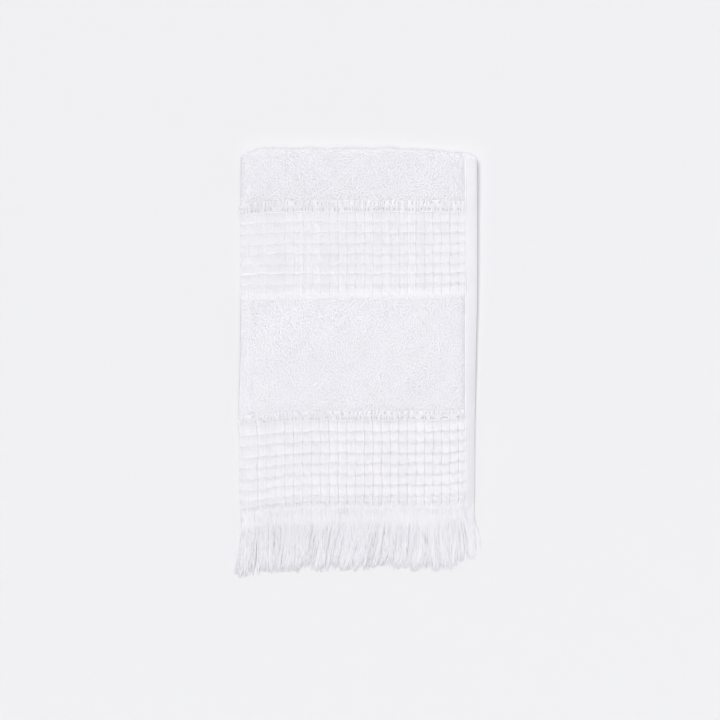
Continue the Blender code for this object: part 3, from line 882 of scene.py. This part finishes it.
def waffleYarns(name, band, loose, columnTo, lower=False):
    # The cells' lengthwise and crosswise yarns, from under the fold to a last column. The lengthwise ones run
    # on over the loose picks, where they stray sideways beside each row of gaps, as bell curves.
    rows = waffle["rows"]
    first = -waffle["wrap"] / waffle["meanWidth"]
    ends = np.arange(round(first * waffle["ends"]), round(columnTo * waffle["ends"]))
    column = uneven(ends) / waffle["ends"]
    looseRows = (loose["end"] - loose["start"]) / ((band["end"] - band["start"]) / rows)
    looseParts = np.linspace(-1.3, 0, 10)[:-1]
    cells = (np.arange(rows)[:, None] + waffle["steps"]).ravel()
    row = np.concatenate([looseRows * looseParts, cells, rows + np.array(waffle["runOut"])])
    stray = sum(
        gathered(column) * np.exp(-(((row / looseRows + centre) / waffle["gapWidth"]) ** 2))
        for centre in waffle["gapRows"]
    )
    number = ends % waffle["ends"]
    sunk = sunkBy(number) + waffle["grooveDrop"] * (number == 1)
    warp = yarnPaths(column + stray, row + 0 * column, band, 1, sunk, lower)
    picks = np.arange(1, rows * waffle["picks"])
    row = uneven(picks) / waffle["picks"]
    column = (np.arange(floor(first), ceil(columnTo))[:, None] + waffle["steps"]).ravel()
    column = np.append(column[(column > first) & (column < columnTo)], columnTo)[None, :]
    weft = yarnPaths(column + 0 * row, row + 0 * column, band, -1, sunkBy(picks % waffle["picks"]), lower)
    return addPiece(name, *joined([warp, weft]), waffleCotton, ring=3)


def gathered(column):
    # Neighbouring yarns draw together in uneven groups, which leaves gaps: each moves towards its group's
    # mean by a part of the way.
    group = np.cumsum(dice.uniform(0, 1, len(column)) < waffle["groupEnds"])
    mean = np.bincount(group, column[:, 0]) / np.maximum(np.bincount(group), 1)
    return tableAt(waffle["gather"], column / waffle["columns"], "part") * (mean[group][:, None] - column)


def sunkBy(number):
    # How much lower a yarn lies by its number in its cell, where 0 is on the ridge.
    return waffle["lineDrop"] * np.isin(number, waffle["lines"])


def yarnPaths(column, row, band, onTop, drop, lower):
    # Tubes along the given columns and rows of the cells. onTop is 1 for lengthwise yarns, which lie on top
    # in a cell's middle, and -1 for crosswise ones, which do along a crosswise ridge. A yarn passes from one
    # side to the other as a hyperbolic tangent.
    sagging = sag(column) * ease(row / 0.3)
    distance = band["start"] + (row + sagging) / waffle["rows"] * (band["end"] - band["start"])
    along = alongAt(distance, lower)
    place = longPlace(along)
    point, across, down, outward = faceFrame(columnS(column, place), along)
    turn, soft = waffle["turn"]
    floating = np.tanh((toRidge(row) - turn) / soft) * onTop * ease(row / 0.1)
    count = len(column)
    lift = 0.0002 + waffle["bed"] + waffle["weave"] * floating
    lift = lift + dice.normal(0, 0.00005, (count, 1)) - drop[:, None]
    lift = lift - waffle["runOutDrop"] * np.clip(row - waffle["rows"], 0, 1)
    lift = lift + waffle["looseLift"] * faceShare("trough", distance)
    radius = waffle["yarnRadius"] * dice.uniform(0.85, 1.12, (count, 1)) + 0 * lift
    side = across if onTop > 0 else -down
    return tubes(point + lift[..., None] * outward, radius, side, flat=waffle["yarnFlat"], roof=True)


coarsePicks = dict(  # single thicker picks across the towel; lift is over the face, and dive under it again
    distance=(0.064, 0.285, 0.1554, 0.3778),
    radius=(0.0004, 0.0004, 0.0004, 0.0005),
    lift=(0.0009, 0.0009, 0.0003, 0.0002),
    dive=(0.0012, 0.0012, 0.0, 0.0),
)
pickShape = dict(
    dashes=(0.0083, 0.0137),  # lengths of the sines that make it dive
    stray=(0.0003, 700),  # size of a sine, and its radians a metre
    slubs=(0.15, 1900),
)


def cords(name):
    # Each pick lies at its own distance, and those of the loose rows dive under the cloth where two sines add
    # up to more, which leaves dashes of random lengths. Its thickness varies as a sine.
    parts = []
    for distance, radius, lift, dive in zip(*coarsePicks.values()):
        s = np.linspace(-0.006, towel["width"] - hem["width"], 150)[None, :]
        phases = dice.uniform(0.35, 0.65, 2) * 9
        dashes = zip(pickShape["dashes"], phases)
        swing = sum(np.sin(2 * pi * s / length + phase) for length, phase in dashes)
        under = dive * ease((swing - 0.2) / 0.6)
        stray, number = pickShape["stray"]
        along = alongAt(distance + stray * np.sin(s * number + phases[0]))
        point, across, down, outward = faceFrame(s, along)
        slub, number = pickShape["slubs"]
        thick = radius * (1 + slub * np.sin(s * number))
        parts.append(tubes(point + (lift - under)[..., None] * outward, thick, -down, 5))
    return addPiece(name, *joined(parts), waffleCotton)


def stitches(name):
    # The row of lockstitches that holds the side hem: each thread rises from one hole and dips into the next.
    count = int((towel["wovenLength"] - hem["stitchEnds"]) / hem["stitch"])
    start = hem["stitchStart"] + hem["stitch"] * np.arange(count)[:, None]
    along = alongAt(start + (hem["stitch"] - hem["stitchGap"]) * np.array((0.0, 0.25, 0.75, 1.0)))
    place = longPlace(along)
    stray = dice.normal(0, 0.00008, (count, 1))
    s = acrossOf(place.right - hem["groove"] * place.hem + stray, place)
    point, across, down, outward = faceFrame(s, along)
    lift = np.array((-0.0005, -0.0001, -0.0001, -0.0005))[None, :, None]
    threads = tubes(point + lift * outward, np.full(s.shape, hem["threadRadius"]), across)
    return addPiece(name, *threads, threadCotton, ring=3)


# ---- fringe

fringe = dict(
    yarnRadius=0.00034,
    steps=10,
    insideStrip=0.0165,  # how far up the plain strip the longest yarns show
    length=0.052,
    wave=0.0009,
    locks=100,
    lockWidth=(0.0022, 0.007),
    lockDrift=0.0007,
    lockBow=0.0007,
    pull=0.2,  # how much a lock may draw together toward its tip
    sways=((0.031, 0.0016), (0.0171, 0.0013), (0.0094, 0.0006)),  # pitch and size of the tips' sideways waves
    bows=((0.037, 0.0014), (0.0131, 0.0007)),  # the same for their bending on the way down
    thick=0.0007,  # of a layer of yarns
    hemReach=0.022,
    edgeSwerve=0.55,
    middleSwerve=1.3,
    swerveReach=0.03,
    strays=0.13,  # share of the yarns that cross the others
    crossing=0.005,  # how far they go, and inwards where they start so near a side
    mound=0.45,  # height of a lock's middle, in layers
)

tips = dict(  # across the towel from its lengthwise fold: the locks' lengths and their tips' drift sideways
    across=(
        0.0, 0.006, 0.013, 0.02, 0.028, 0.04, 0.06, 0.075, 0.095, 0.112, 0.132,
        0.15, 0.162, 0.178, 0.192, 0.198, 0.208, 0.222, 0.23, 0.24, 0.25,
    ),
    length=(
        0.05, 0.0535, 0.0545, 0.048, 0.049, 0.053, 0.0545, 0.051, 0.052, 0.05, 0.053,
        0.051, 0.049, 0.054, 0.0525, 0.05, 0.0545, 0.054, 0.047, 0.044, 0.048,
    ),
    drift=(
        -0.0062, -0.0056, -0.004, -0.001, -0.002, -0.0045, -0.007, -0.0075, -0.009, -0.01, -0.0115,
        -0.011, -0.006, -0.003, -0.001, -0.0005, 0.001, 0.002, 0.004, 0.0035, 0.0015,
    ),
)

lie = dict(  # the height of each layer's middle, by the part of its length from the root
    part=(0.0, 0.12, 0.35, 0.65, 0.85, 1.0),
    bottom=(0.0009, 0.0009, 0.0007, 0.0005, 0.0004, 0.0004),
    third=(0.0028, 0.0025, 0.0017, 0.001, 0.0006, 0.0004),
    second=(0.0059, 0.0051, 0.0031, 0.0017, 0.0009, 0.0005),
    face=(0.0069, 0.0058, 0.0037, 0.0022, 0.0013, 0.0006),
)

partings = dict(  # where tips stand apart: half a gap's width, and what the layers below keep of it
    tip=(0.0155, 0.027, 0.0695, 0.103, 0.129, 0.1365, 0.145, 0.153, 0.2, 0.239),
    open=(0.0016, 0.0005, 0.001, 0.0012, 0.0008, 0.0009, 0.0007, 0.0008, 0.0005, 0.002),
    below=(1.0, 0.3, 0.3, 0.2, 0.2, 0.2, 0.2, 0.2, 0.2, 0.8),
    reach=0.0045,
)

fringeLayers = dict(  # from the floor up, as in the solids
    bottom=dict(yarns=420, length=0.86, drift=0.55, hemDrift=0.0, shift=0.009),
    third=dict(yarns=420, length=0.9, drift=0.8, hemDrift=0.0075, shift=0.004),
    second=dict(yarns=1000, length=0.95, drift=0.9, hemDrift=0.003, shift=0.012),
    face=dict(yarns=1700, length=1.0, drift=1.0, hemDrift=0.0, shift=0.0),
)


def sines(place, waves):
    # Sines of the given pitches and sizes, added up.
    return sum(size * np.sin(2 * pi * place / pitch) for pitch, size in waves)


def partedBy(tip, kept):
    # How far the partings push a tip aside: away from each, and less with distance, as an exponential.
    push = 0
    for centre, gap, below in zip(partings["tip"], partings["open"], partings["below"]):
        away = tip + halfWidth - centre
        share = below + (1 - below) * kept
        push = push + share * gap * np.sign(away) * np.exp(-abs(away) / partings["reach"])
    return push


def fringeYarns(name, layer):
    # One layer of cut warp yarns, in locks of uneven width: a yarn's sideways drift grows as a power of the
    # way down, a lock draws its yarns together toward its tip, and its middle stands highest, as a parabola.
    # Those of the face start on the plain strip, and toward the tips all come down to the floor.
    woven = towel["wovenLength"]
    place = longPlace(np.array([alongAt(woven)]))
    onFace = name == "face"
    left = place.left[0] + (0.0004 if name in ("bottom", "face") else towel["slitDepth"] * place.thick[0])
    right = halfWidth + fromTable(edges, np.array([woven]), "hem" + name.capitalize())[0] - 0.0003
    count, locks = layer["yarns"], fringe["locks"]
    root = left + (np.arange(count) + dice.uniform(0, 1, count)) / count * (right - left)
    widths = dice.uniform(*fringe["lockWidth"], locks)
    ends = left + np.concatenate([[0], np.cumsum(widths)])
    lock = np.clip(np.searchsorted(ends, root) - 1, 0, locks - 1)
    centre = ends[lock] + widths[lock] / 2
    offset = (root - centre) / (widths[lock] / 2)
    lockDrift = dice.normal(0, fringe["lockDrift"], locks)[lock, None]
    lockBow = dice.normal(0, fringe["lockBow"], locks)[lock, None]
    pull = dice.uniform(0, fringe["pull"], locks)[lock, None]
    lockLength = dice.normal(1, 0.03, locks)[lock]
    level = dice.uniform(-0.15, 0.35, locks)[lock, None]
    start = dice.uniform(0.08, 1.0, (count, 1)) if onFace else 0.2
    inside = fringe["insideStrip"] / fringe["length"] * start
    part = np.linspace(0, 1, fringe["steps"] + 1)[None, :] * (1 + inside) - inside + np.zeros((count, 1))
    down = np.clip(part, 0, 1)
    crossing = (dice.uniform(0, 1, count) < fringe["strays"])[:, None]
    x = root[:, None] + (centre - root)[:, None] * pull * down**1.5
    across = x + halfWidth
    sway = sines(across + layer["shift"], fringe["sways"])
    bow = sines(across - layer["shift"], fringe["bows"])
    besideHem = sideShare(towel["width"] - across, fringe["hemReach"])
    fromSide = np.minimum(across, towel["width"] - across)
    swing = dice.normal(0, fringe["crossing"], (count, 1))
    swing = np.where(fromSide < 0.02, abs(swing) * np.sign(halfWidth - across), swing)
    stray = dice.normal(0, 0.0009, (count, 1)) + crossing * swing
    drift = layer["drift"] * tableAt(tips, across, "drift") - sway + layer["hemDrift"] * besideHem
    drift = drift + lockDrift + stray
    drift = drift + partedBy(x + drift, float(onFace))
    swerve = np.interp(fromSide, (0, fringe["swerveReach"]), (fringe["edgeSwerve"], fringe["middleSwerve"]))
    length = layer["length"] * tableAt(tips, centre + halfWidth, "length") * lockLength
    shorter = 0.17 * dice.uniform(0, 1, count) ** 1.4
    length = length * (1.02 - shorter - 0.25 * (dice.uniform(0, 1, count) < 0.06))
    phase = dice.uniform(0, 2 * pi, (count, 1))
    curl = fringe["wave"] * down * np.sin(phase + part * dice.uniform(2, 8, (count, 1)))
    worldX = x + drift * down**swerve + curl + (bow + lockBow) * np.sin(pi * down)
    y = towel["foldY"] - woven + rowShift(x, woven + 0 * x) - length[:, None] * part
    mound = fringe["mound"] * (1 - offset**2)[:, None] * ease(down / 0.3)
    depth = dice.uniform(-0.55, 0.45, (count, 1)) + level * down + 0.35 * crossing
    free = fromTable(lie, down, name) + fringe["thick"] * (depth + mound) * (1 - 0.6 * down)
    free = lowered(root[:, None], free, woven)
    along = alongAt(np.minimum(woven + length[:, None] * part, woven))
    face = facePoint(acrossOf(x, longPlace(along)), along)[..., 2]
    held = face + 0.00012 + dice.uniform(0, 0.00018, (count, 1)) if onFace else free[:, :1] + 0 * face
    z = np.maximum(held + (free - held) * ease(part / 0.15), fringe["yarnRadius"])
    taper = np.interp(down, (0, 0.85, 1.0), (1.0, 0.95, 0.4))
    radius = fringe["yarnRadius"] * dice.uniform(0.45, 1.15, (count, 1)) * taper
    turned = dice.normal(0, 0.3, (count, 1))
    side = np.stack([np.cos(turned), 0 * turned, np.sin(turned)], axis=-1)
    paths = np.stack([worldX, y, z], axis=-1)
    return addPiece(f"fringe_yarns_{name}", *tubes(paths, radius, side), fringePaintedShadeCotton, ring=3)


roundFrom = -pi * halfStack
foldSide = (-0.0075, 0.0020)  # loops that show on the fold's side
# Loops start and end close to their bands' ends. Those round the cross fold end 3 mm above its underside.
innerTo = alongAt(0.0595)
wide = (alongAt(0.1561), alongAt(0.2820))  # the wide band, a little past its end, where they fray
pilePieces = [
    terryLoops("terry_loops_middle", [
        (foldSide[1], faceTo, 0.0, innerTo, pile["pitch"]),
        (foldSide[1], faceTo, roundFrom + 0.003, roundFrom / 2, 1.15 * pile["foldPitch"]),
        (foldSide[1], faceTo, roundFrom / 2, 0.0, pile["pitch"]),
        (*foldSide, 0.0, alongAt(0.0580), pile["foldPitch"]),
        (*foldSide, roundFrom - 0.052, roundFrom, pile["foldPitch"]),
    ]),
    terryLoops("terry_loops_lower_hem", [(faceTo / 2, faceTo, *wide, pile["pitch"])]),
    terryLoops("terry_loops_lower_fold", [
        (foldSide[1], faceTo / 2, *wide, pile["pitch"]),
        (*foldSide, wide[0], alongAt(0.2810), pile["foldPitch"]),
        (*foldSide, alongAt(0.2810, True), alongAt(0.1561, True), pile["foldPitch"]),
    ]),
]
print("loops made")
lastColumn = waffle["columns"] - 0.15
yarnPieces = [
    waffleYarns("waffle_yarns_inner", bands[2], bands[1], lastColumn),
    waffleYarns("waffle_yarns_outer", bands[5], bands[4], lastColumn),
    waffleYarns("waffle_yarns_fold_inner", bands[2], bands[1], 0.6, True),
    waffleYarns("waffle_yarns_fold_outer", bands[5], bands[4], 0.6, True),
    cords("loose_picks"),
    stitches("hem_stitches"),
]
print("yarns made")
fringePieces = {key: fringeYarns(key, layer) for key, layer in fringeLayers.items()}
print("fringe made")

# ---- what the library is told

allPieces = [clothPiece, *pilePieces, *yarnPieces, *fringePieces.values()]
for piece in allPieces:
    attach(piece, "root")
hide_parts("towel_cloth")
for node, layers in {"fringe_upper_end": ("face", "second"), "fringe_lower_end": ("third", "bottom")}.items():
    for key in layers:
        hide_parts(node)

# ---- floor, light and camera

studio = dict(
    floor="#E5E5E7",
    floorRadius=2.2,
    wallRadius=3.0,
    wallHeight=1.6,
    sectors=64,
    sky=0.16,
    key=1.84,
    keyElevation=63,
    keyAzimuth=116,  # from the top of the picture, a little from its left
    keySoftness=30,  # degrees across, as a large softbox
    top=1.15,
    topSoftness=60,
    imageWidth=0.7632,  # of the picture, at the towel
    faceHeight=0.007,  # where that width is measured
    aim=(0.00159, 0.00318),  # the middle of the picture
    lens=100,
)


def studioFloor():
    # A disc of matte paper that bends up into a low wall: a quarter circle turned round the upright axis.
    turn = np.linspace(0, 1, 13) * pi / 2
    bend = studio["wallRadius"] - studio["floorRadius"]
    r = np.concatenate([[0.2, 1.0], studio["floorRadius"] + bend * np.sin(turn), [studio["wallRadius"]]])
    z = np.concatenate([[0.0, 0.0], bend * (1 - np.cos(turn)), [studio["wallHeight"]]])
    sectors = studio["sectors"]
    way = 2 * pi * np.arange(sectors) / sectors
    ring = np.stack([np.cos(way), np.sin(way), 0 * way], axis=-1)
    points = r[:, None, None] * ring + z[:, None, None] * np.array([0, 0, 1.0])
    points = np.concatenate([points.reshape(-1, 3), [[0, 0, 0]]])
    number = np.arange(len(r) * sectors).reshape(len(r), sectors)
    after = np.roll(number, -1, axis=1)
    quads = np.stack([number[:-1], number[1:], after[1:], after[:-1]], axis=-1).reshape(-1, 4)
    centre = np.stack([np.full(sectors, len(points) - 1), number[0], after[0]], axis=-1)
    paper = bpy.data.materials.new("matte_paper")
    paper.use_nodes = True
    shader = paper.node_tree.nodes["Principled BSDF"]
    shader.inputs["Base Color"].default_value = linear(studio["floor"])
    shader.inputs["Roughness"].default_value = 1.0
    shader.inputs["Specular IOR Level"].default_value = 0.0
    return addPiece("floor", points, [quads, centre], points[:, :2].copy(), paper)


studioFloor()


def softbox(name, energy, softness, elevation, azimuth):
    # A far light of a given breadth in degrees, from the height and compass direction it stands at.
    light = bpy.data.lights.new(name, "SUN")
    light.energy = energy
    light.angle = radians(softness)
    lamp = bpy.data.objects.new(name, light)
    bpy.context.collection.objects.link(lamp)
    lamp.rotation_euler = (0, radians(90 - elevation), radians(azimuth))


softbox("softbox_key", studio["key"], studio["keySoftness"], studio["keyElevation"], studio["keyAzimuth"])
softbox("softbox_top", studio["top"], studio["topSoftness"], 90, 0)

world = bpy.data.worlds.new("studio")
world.use_nodes = True
world.node_tree.nodes["Background"].inputs["Color"].default_value = linear("#FFFFFF")
world.node_tree.nodes["Background"].inputs["Strength"].default_value = studio["sky"]
bpy.context.scene.world = world
bpy.context.scene.view_settings.view_transform = "Standard"

cameraData = bpy.data.cameras.new("camera")
cameraData.lens = studio["lens"]
camera = bpy.data.objects.new("camera", cameraData)
bpy.context.collection.objects.link(camera)
distance = studio["imageWidth"] * studio["lens"] / cameraData.sensor_width
camera.location = (*studio["aim"], distance + studio["faceHeight"])
bpy.context.scene.camera = camera
